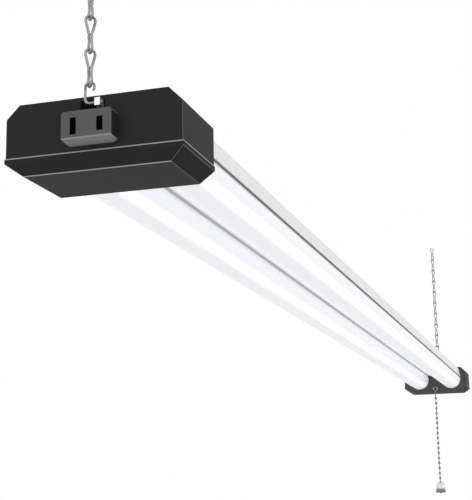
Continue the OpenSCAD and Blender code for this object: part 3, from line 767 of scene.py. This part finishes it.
        # Painted shade: the tubes darken and lose their glow where they go up inside the
        # channel's walls
        shade_fade = make.fade(make.minus(z, CHANNEL_FOOT_Z), start=-2.9 * MM, end=-0.6 * MM)
        edge = make.both(shade_fade, make.over(dx, 0.0))
        make.put(shader.inputs["Base Color"], self.shaded(make, tuple(colours.milk), tone))
        self.recolour(make, shader, edge, rgb(104, 104, 106))
        painted_streak_glow = (1.5, 1.5, 1.5, 1.0)
        glow = make.mix(painted_streak, rgb(233, 235, 240), painted_streak_glow)
        make.put(shader.inputs["Emission Color"], make.mix(edge, glow, BLACK))
        shader.inputs["Emission Strength"].default_value = colours.glow
        shader.inputs["Specular IOR Level"].default_value = 0.3
        return material


# Pieces


class Piece:
    """What the operators share."""

    bl_options = {"REGISTER", "UNDO"}
    finishes = None

    def execute(self, context):
        if Piece.finishes is None:
            Piece.finishes = Finishes(context.scene.light_finish)
        self.build(context, Piece.finishes)
        return {"FINISHED"}


class LIGHT_OT_channel(Piece, bpy.types.Operator):
    """Folded channel, its tray and the light boards"""

    bl_idname = "light.channel"
    bl_label = "Channel"

    def build(self, context, finish):
        channel = recast("housing", "channel", bevel=0.25 * MM)
        show(channel, "fixture", "white_paint", finish.paint, "housing")
        tray = recast("reflector_tray", "tray", bevel=0.12 * MM)
        show(tray, "fixture", "white_paint", finish.tray, "reflector_tray")
        for side in ("left", "right"):
            paint_node("led_board_" + side, finish.board)
            paint_node("led_chips_" + side, finish.phosphor)
        paint_node("board_jumper", finish.board)


class LIGHT_OT_tubes(Piece, bpy.types.Operator):
    """Two milky tubes that clip under the tray"""

    bl_idname = "light.tubes"
    bl_label = "Tubes"

    lip = 1.2 * MM
    wall = 1.1 * MM
    # An edge this close to the cut is on it
    reach = 0.01 * MM

    def build(self, context, finish):
        low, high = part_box("diffuser_right")
        tube = settle(added(
            bpy.ops.mesh.primitive_cylinder_add, vertices=128, radius=TUBE_R,
            depth=high.y - low.y, end_fill_type="NOTHING",
            location=(TUBE_X, 0, TUBE_Z), rotation=(math.pi / 2, 0, 0)))
        edit(tube)
        bpy.ops.mesh.bisect(plane_co=(0, 0, high.z), plane_no=(0, 0, 1), clear_outer=True)
        close()
        # The two cut edges turn in under the tray and end in a lip
        for sign in (1, -1):
            use(tube)
            bpy.ops.object.mode_set(mode="EDIT")
            bpy.ops.mesh.select_mode(type="EDGE")
            bpy.ops.mesh.select_all(action="DESELECT")
            bpy.ops.object.mode_set(mode="OBJECT")
            for e in tube.data.edges:
                a, b = (tube.data.vertices[v].co for v in e.vertices)
                cut = max(abs(a.z - high.z), abs(b.z - high.z)) < self.reach
                e.select = cut and abs(a.y - b.y) > MM and (a.x - TUBE_X) * sign > 0
            bpy.ops.object.mode_set(mode="EDIT")
            bpy.ops.mesh.extrude_region_move(
                TRANSFORM_OT_translate={"value": (-sign * self.lip, 0, 0)})
            close()
        apply(tube, "SOLIDIFY", thickness=self.wall, offset=-1, use_even_offset=True)
        smooth(tube, degrees=40)
        other = twin(tube, shift(-2 * TUBE_X, 0, 0), "tube_left")
        tube.name = "tube_right"
        show(tube, "fixture", "milky_plastic", finish.tube, "diffuser_right")
        show(other, "fixture", "milky_plastic", finish.tube, "diffuser_left")


class LIGHT_OT_driver(Piece, bpy.types.Operator):
    """Driver, its leads and the supply wires"""

    bl_idname = "light.driver"
    bl_label = "Driver"

    def build(self, context, finish):
        paint_node("driver_insulator", finish.ivory)
        paint_node("driver_board", finish.green)
        paint_node("driver_parts", finish.dark)
        paint_node("driver_leads", finish.rubber)
        paint_node("supply_wires", finish.rubber)
        paint_node("terminal_block", finish.ivory)


class LIGHT_OT_caps(Piece, bpy.types.Operator):
    """Upper and lower half of each cap"""

    bl_idname = "light.caps"
    bl_label = "Caps"

    def build(self, context, finish):
        for end in ("near", "far"):
            shell = recast(end + "_cap_shell", end + "_shell", bevel=0.3 * MM)
            show(shell, "fixture", "cap_black", finish.cap, end + "_cap_shell")
            base = recast(end + "_cap_base", end + "_base", bevel=0.2 * MM)
            show(base, "fixture", "cap_black", finish.cap, end + "_cap_base")


class LIGHT_OT_outlet(Piece, bpy.types.Operator):
    """Outlet block and the contacts behind its slots"""

    bl_idname = "light.outlet"
    bl_label = "Outlet"

    def build(self, context, finish):
        block = recast("outlet_insert", "outlet", bevel=0.2 * MM)
        show(block, "fixture", "outlet_grey", finish.outlet, "outlet_insert")
        paint_node("outlet_contact_live", finish.brass)
        paint_node("outlet_contact_neutral", finish.brass)


class LIGHT_OT_screws(Piece, bpy.types.Operator):
    """Cap screws with a cross recess, and the hangers' rivets"""

    bl_idname = "light.screws"
    bl_label = "Screws"

    head_r = 2.8 * MM
    head_h = 1.8 * MM
    # The head's outline, in shares of its radius and height
    head_shares = ((0, 1), (0.6, 0.97), (0.88, 0.75), (1, 0.3), (1, 0))
    shank_r = 1.4 * MM
    shank_l = 6 * MM
    # The block that cuts each bar of the cross, and the cross's turn
    cutter = (3.2 * MM, 0.7 * MM, 2 * MM)
    cross_turn = 0.4
    # Where the screws near the channel stand, from the middle
    inner_x = 22 * MM

    def screw(self):
        """One screw, upright, with the underside of its head at height 0."""
        outline = [(w * self.head_r, h * self.head_h) for w, h in self.head_shares]
        outline += [(self.shank_r, 0), (self.shank_r, -self.shank_l), (0, -self.shank_l)]
        screw = lathe(outline, "screw", steps=32)
        for turn in (0, math.pi / 2):
            bit = added(bpy.ops.mesh.primitive_cube_add, size=1,
                        location=(0, 0, self.head_h), rotation=(0, 0, turn + self.cross_turn))
            bit.scale = self.cutter
            settle(bit)
            apply(screw, "BOOLEAN", operation="DIFFERENCE", object=bit)
            bpy.data.objects.remove(bit)
        smooth(screw)
        return screw

    def build(self, context, finish):
        screw = self.screw()
        for end, sign in (("near", -1), ("far", 1)):
            spots = []
            low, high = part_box(end + "_cap_screws")
            outer_y = max(abs(low.y), abs(high.y)) - self.head_r
            inner_y = min(abs(low.y), abs(high.y)) + self.head_r
            for side in (-1, 1):
                spots.append((side * (high.x - self.head_r), sign * outer_y))
                spots.append((side * self.inner_x, sign * inner_y))
            # Each screw is turned by one radian more than the one before
            made = [twin(screw, shift(x, y, TOP_Z) @ Matrix.Rotation(turn, 4, "Z"))
                    for turn, (x, y) in enumerate(spots)]
            show(join(made, end + "_screws"), "fixture", "bright_steel", finish.zinc,
                 end + "_cap_screws")
        bpy.data.objects.remove(screw)
        rivets = recast("hanger_rivets", "rivets", bevel=0.4 * MM, degrees=40, segments=3)
        show(rivets, "fixture", "bright_steel", finish.zinc, "hanger_rivets")


class LIGHT_OT_hangers(Piece, bpy.types.Operator):
    """Hanger strips and the hooks that swing in them"""

    bl_idname = "light.hangers"
    bl_label = "Hangers"

    def build(self, context, finish):
        for end in ("near", "far"):
            strip = recast(end + "_hanger", end + "_strip", bevel=0.2 * MM)
            show(strip, "fixture", "bright_steel", finish.zinc, end + "_hanger")
            hook = recast(end + "_hook", end + "_wire_hook", degrees=50)
            show(hook, end + "_chain", "chain_steel", finish.chain, end + "_hook")


class LIGHT_OT_chains(Piece, bpy.types.Operator):
    """Chains of double-loop links"""

    bl_idname = "light.chains"
    bl_label = "Chains"

    # Room between two links that hang in each other
    gap = 0.3 * MM
    arc_steps = 9
    leg_steps = 7
    # A loop's turn against the waist, full from this share of the reach
    loop_turn = math.radians(45)
    turn_share = 0.3

    def strand(self, link, reach):
        """A quarter of a flat link, from the top of its loop to its waist."""
        radius = (link.width - link.wire) / 2
        centre = reach - radius
        lean = math.asin(radius / centre)
        waist = link.wire / 2
        points = []
        for i in range(self.arc_steps + 1):
            a = math.pi / 2 - (math.pi / 2 + lean) * i / self.arc_steps
            points.append((radius * math.cos(a), centre + radius * math.sin(a)))
        x, z = points[-1]
        for i in range(1, self.leg_steps + 1):
            t = i / self.leg_steps
            points.append((x + (waist - x) * t, z * (1 - t)))
        return points

    def link_points(self, link):
        """The closed centreline: two crossed loops whose wires wrap at the waist."""
        reach = (link.pitch + link.wire + self.gap) / 2
        strand = self.strand(link, reach)
        half = strand + [(x, -z) for x, z in reversed(strand[:-1])]
        there, back = [], []
        for side, half_turn in ((there, 0), (back, math.pi)):
            for x, z in half:
                share = max(-1, min(1, z / (self.turn_share * reach)))
                turn = self.loop_turn * share + half_turn
                side.append((x * math.cos(turn), x * math.sin(turn), z))
        return there + back[-2:0:-1]

    def build(self, context, finish):
        link = context.scene.light_link
        model = wire(self.link_points(link), link.wire / 2, "link", closed=True)
        edit(model)
        bpy.ops.mesh.remove_doubles(threshold=MERGE)
        bpy.ops.mesh.normals_make_consistent(inside=False)
        close()
        for end, sign in (("near", -1), ("far", 1)):
            top = middle(end + "_top_link", "z")
            # Node, body, and the first link and number of links that they hold
            groups = (("_top_link", "ceiling_links", 0, 1),
                      ("_second_link", "second_links", 1, 1),
                      ("_chain", end + "_chain", 2, 9))
            for node, body, first, count in groups:
                made = [twin(model, shift(0, sign * HOOK_Y, top - (first + i) * link.pitch))
                        for i in range(count)]
                piece = join(made, end + node + "_wire")
                smooth(piece, degrees=60)
                show(piece, body, "chain_steel", finish.chain, end + node)
        bpy.data.objects.remove(model)


class LIGHT_OT_cord_inlet(Piece, bpy.types.Operator):
    """Cord inlet and its nut"""

    bl_idname = "light.cord_inlet"
    bl_label = "Cord inlet"

    def build(self, context, finish):
        inlet = recast("cord_gland", "inlet", bevel=0.3 * MM, degrees=40, segments=3)
        show(inlet, "fixture", "cap_black", finish.rubber, "cord_gland")
        paint_node("gland_nut", finish.rubber)


class LIGHT_OT_switch(Piece, bpy.types.Operator):
    """Pull switch inside the far cap"""

    bl_idname = "light.switch"
    bl_label = "Switch"

    def build(self, context, finish):
        paint_node("switch_case", finish.ivory)
        paint_node("switch_drum", finish.board)
        paint_node("switch_spring", finish.zinc)
        paint_node("switch_tabs", finish.brass)


class LIGHT_OT_pull_chain(Piece, bpy.types.Operator):
    """Eyelet, beaded pull chain, bell and ball"""

    bl_idname = "light.pull_chain"
    bl_label = "Pull chain"

    # Faces whose normal is steeper than this are the ends of a bead or the ball's foot
    bead_end = 0.93
    ball_foot = 0.97
    neck_r = 1.6 * MM
    bell_wall = 0.7 * MM
    dome_steps = 10
    # In shares of the bell's radius and height: the dome, then the skirt down to the mouth
    dome_share = (0.82, 0.42)
    skirt_shares = ((0.82, 0.66), (0.84, 0.76), (0.9, 0.88), (1, 0.985), (1, 1))
    # In shares of the wall: the inner face's drop, and how far in the mouth's middle is
    drop_share = 0.3
    mouth_share = 0.5

    def bead(self):
        """A hollow bead with a hole at each end, where the wire comes out."""
        bead = added(bpy.ops.mesh.primitive_uv_sphere_add,
                     segments=20, ring_count=12, radius=BEAD_R)
        edit(bead, lambda centre, normal: abs(normal.z) > self.bead_end)
        bpy.ops.mesh.inset(thickness=0.08 * MM, depth=-0.12 * MM)
        close()
        smooth(bead, degrees=50)
        return bead

    def ball(self, z):
        """The ball under the bell, with a dimple in its foot."""
        ball = settle(added(bpy.ops.mesh.primitive_uv_sphere_add, segments=32, ring_count=20,
                            radius=BALL_R, location=(0, CHAIN_Y, z)))
        edit(ball, lambda centre, normal: normal.z < -self.ball_foot)
        bpy.ops.mesh.inset(thickness=0.2 * MM, depth=-0.15 * MM)
        close()
        smooth(ball, degrees=50)
        return ball

    def beads(self, bead, count, top, foot, name):
        """Beads from height top down, on a wire that goes on to height foot."""
        made = [twin(bead, shift(0, CHAIN_Y, top - i * BEAD_PITCH)) for i in range(count)]
        made.append(wire([(0, CHAIN_Y, top), (0, CHAIN_Y, foot)], BEAD_WIRE_R, name))
        return made

    def bell(self):
        """A thin bell, open below, with a hole for the wire in its neck."""
        low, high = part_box("pull_bell")
        height = high.z - low.z
        radius = (high.x - low.x) / 2
        dome_w, dome_h = self.dome_share
        wall = self.bell_wall
        outer = [(BEAD_WIRE_R, 0), (self.neck_r, 0)]
        for i in range(1, self.dome_steps + 1):
            t = i / self.dome_steps
            a = math.radians(90 * (1 - t))
            outer.append((dome_w * radius * math.cos(a) + self.neck_r * (1 - t) * math.sin(a),
                          -dome_h * height * (1 - math.sin(a))))
        outer += [(w * radius, -h * height) for w, h in self.skirt_shares]
        mouth = [(radius - self.mouth_share * wall, -height)]
        inner = [(max(r - wall, BEAD_WIRE_R), z - self.drop_share * wall)
                 for r, z in reversed(outer[1:-2])]
        hole = [(BEAD_WIRE_R, -wall), (BEAD_WIRE_R, 0)]
        bell = lathe(outer + mouth + inner + hole, "bell", steps=48)
        bell.data.transform(shift(0, CHAIN_Y, high.z))
        return bell

    def build(self, context, finish):
        bead = self.bead()
        low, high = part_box("pull_chain")
        ball_z = low.z + BALL_R
        made = self.beads(bead, BEAD_COUNT, high.z - BEAD_R, ball_z, "pull_wire")
        made.append(self.ball(ball_z))
        show(join(made, "beads"), "pull_chain", "chrome", finish.bead, "pull_chain")
        low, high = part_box("pull_chain_lead")
        lead = self.beads(bead, 1, high.z - BEAD_R, low.z, "lead_wire")
        show(join(lead, "lead_bead"), "pull_lead", "chrome", finish.bead, "pull_chain_lead")
        bpy.data.objects.remove(bead)
        show(self.bell(), "pull_chain", "chrome", finish.bell, "pull_bell")
        eyelet = recast("pull_eyelet", "eyelet", bevel=0.1 * MM, degrees=40)
        show(eyelet, "fixture", "chrome", finish.eyelet, "pull_eyelet")
        paint_node("pull_chain_inner", finish.bead)


class LIGHT_OT_stage(bpy.types.Operator):
    """Floor, lamps, sky and the photo's camera"""

    bl_idname = "light.stage"
    bl_label = "Stage"

    floor_w = 12
    # Where the lamps shine from, and how soft they are
    key_side = (0.92, -0.3, -0.05)
    fill_side = (-0.1, -1.0, 0.35)
    lamp_spread = math.radians(40)
    # The camera fitted to the photo: its place, with its depth under the caps, and its turns
    camera_x = 0.200594
    camera_y = -1.058668
    camera_drop = 0.145496
    yaw = -0.291889
    pitch = 0.215568
    roll = -0.018359

    def execute(self, context):
        stage = context.scene.light_stage
        self.floor(stage.floor_drop)
        self.sky(context, stage.sky)
        self.sun("key_lamp", stage.key, self.key_side)
        self.sun("fill_lamp", stage.fill, self.fill_side)
        self.camera(context)
        return {"FINISHED"}

    def floor(self, drop):
        floor = settle(added(bpy.ops.mesh.primitive_plane_add, size=self.floor_w,
                             location=(0, 0, -drop)))
        floor.name = "floor"
        material, make, shader = new_material("pale_floor")
        tone = make.noise(make.place(), scale=3.0)
        make.put(shader.inputs["Base Color"], make.mix(tone, grey(240), grey(246)))
        shader.inputs["Roughness"].default_value = 0.9
        floor.data.materials.append(material)

    def sky(self, context, level):
        """Light of one level, and plain white where the camera or a gloss sees the sky."""
        world = bpy.data.worlds.new("studio")
        context.scene.world = world
        world.use_nodes = True
        make = Nodes(world.node_tree)
        for node in list(world.node_tree.nodes):
            world.node_tree.nodes.remove(node)
        path = make.add("ShaderNodeLightPath")
        seen = make.either(path.outputs["Is Camera Ray"], path.outputs["Is Glossy Ray"],
                           path.outputs["Is Transmission Ray"])
        light = make.add("ShaderNodeBackground")
        light.inputs["Strength"].default_value = level
        white = make.add("ShaderNodeBackground")
        for node in (light, white):
            node.inputs["Color"].default_value = (1, 1, 1, 1)
        mix = make.add("ShaderNodeMixShader")
        make.put(mix.inputs[0], seen)
        make.put(mix.inputs[1], light.outputs[0])
        make.put(mix.inputs[2], white.outputs[0])
        out = make.add("ShaderNodeOutputWorld")
        make.put(out.inputs["Surface"], mix.outputs[0])

    def sun(self, name, level, toward):
        """A soft sun that stands in the direction given."""
        data = bpy.data.lights.new(name, "SUN")
        data.energy = level
        data.angle = self.lamp_spread
        lamp = bpy.data.objects.new(name, data)
        lamp.rotation_euler = Vector(toward).to_track_quat("Z", "Y").to_euler()
        bpy.context.scene.collection.objects.link(lamp)

    def camera(self, context):
        """Sets up the fitted camera, its turns in radians."""
        yaw, pitch, roll = self.yaw, self.pitch, self.roll
        ahead = Vector((math.sin(yaw) * math.cos(pitch), math.cos(yaw) * math.cos(pitch),
                        math.sin(pitch)))
        right = Vector((math.cos(yaw), -math.sin(yaw), 0))
        up = right.cross(ahead)
        tilted_right = math.cos(roll) * right + math.sin(roll) * up
        tilted_up = -math.sin(roll) * right + math.cos(roll) * up
        data = bpy.data.cameras.new("photo_camera")
        data.lens = 82.82
        data.sensor_width = 36
        data.sensor_fit = "AUTO"
        data.clip_start = 0.02
        data.clip_end = 60
        camera = bpy.data.objects.new("photo_camera", data)
        place = shift(self.camera_x, self.camera_y, BOTTOM_Z - self.camera_drop)
        turn = Matrix((tilted_right, tilted_up, -ahead)).transposed()
        camera.matrix_world = place @ turn.to_4x4()
        context.scene.collection.objects.link(camera)
        context.scene.camera = camera


class LIGHT_PT_panel(bpy.types.Panel):
    """Lists the light's pieces and their settings"""

    bl_idname = "LIGHT_PT_panel"
    bl_label = "Shop light"
    bl_space_type = "VIEW_3D"
    bl_region_type = "UI"
    bl_category = "Shop light"

    def draw(self, context):
        layout = self.layout
        for name in ("light_finish", "light_link", "light_stage"):
            settings = getattr(context.scene, name)
            for key in settings.__annotations__:
                layout.prop(settings, key)
        for step in STEPS:
            layout.operator(step.bl_idname)


STEPS = (LIGHT_OT_channel, LIGHT_OT_tubes, LIGHT_OT_driver, LIGHT_OT_caps, LIGHT_OT_outlet,
         LIGHT_OT_screws, LIGHT_OT_hangers, LIGHT_OT_chains, LIGHT_OT_cord_inlet,
         LIGHT_OT_switch, LIGHT_OT_pull_chain, LIGHT_OT_stage)
CLASSES = (FinishSettings, LinkSettings, StageSettings, *STEPS, LIGHT_PT_panel)


def register():
    for item in CLASSES:
        bpy.utils.register_class(item)
    scene = bpy.types.Scene
    scene.light_finish = bpy.props.PointerProperty(type=FinishSettings)
    scene.light_link = bpy.props.PointerProperty(type=LinkSettings)
    scene.light_stage = bpy.props.PointerProperty(type=StageSettings)


def unregister():
    del bpy.types.Scene.light_finish
    del bpy.types.Scene.light_link
    del bpy.types.Scene.light_stage
    for item in reversed(CLASSES):
        bpy.utils.unregister_class(item)


def main():
    register()
    bpy.context.scene.view_settings.view_transform = "Standard"
    for step in STEPS:
        area, name = step.bl_idname.split(".")
        getattr(getattr(bpy.ops, area), name)()
    deselect()


if __name__ == "__main__":
    main()
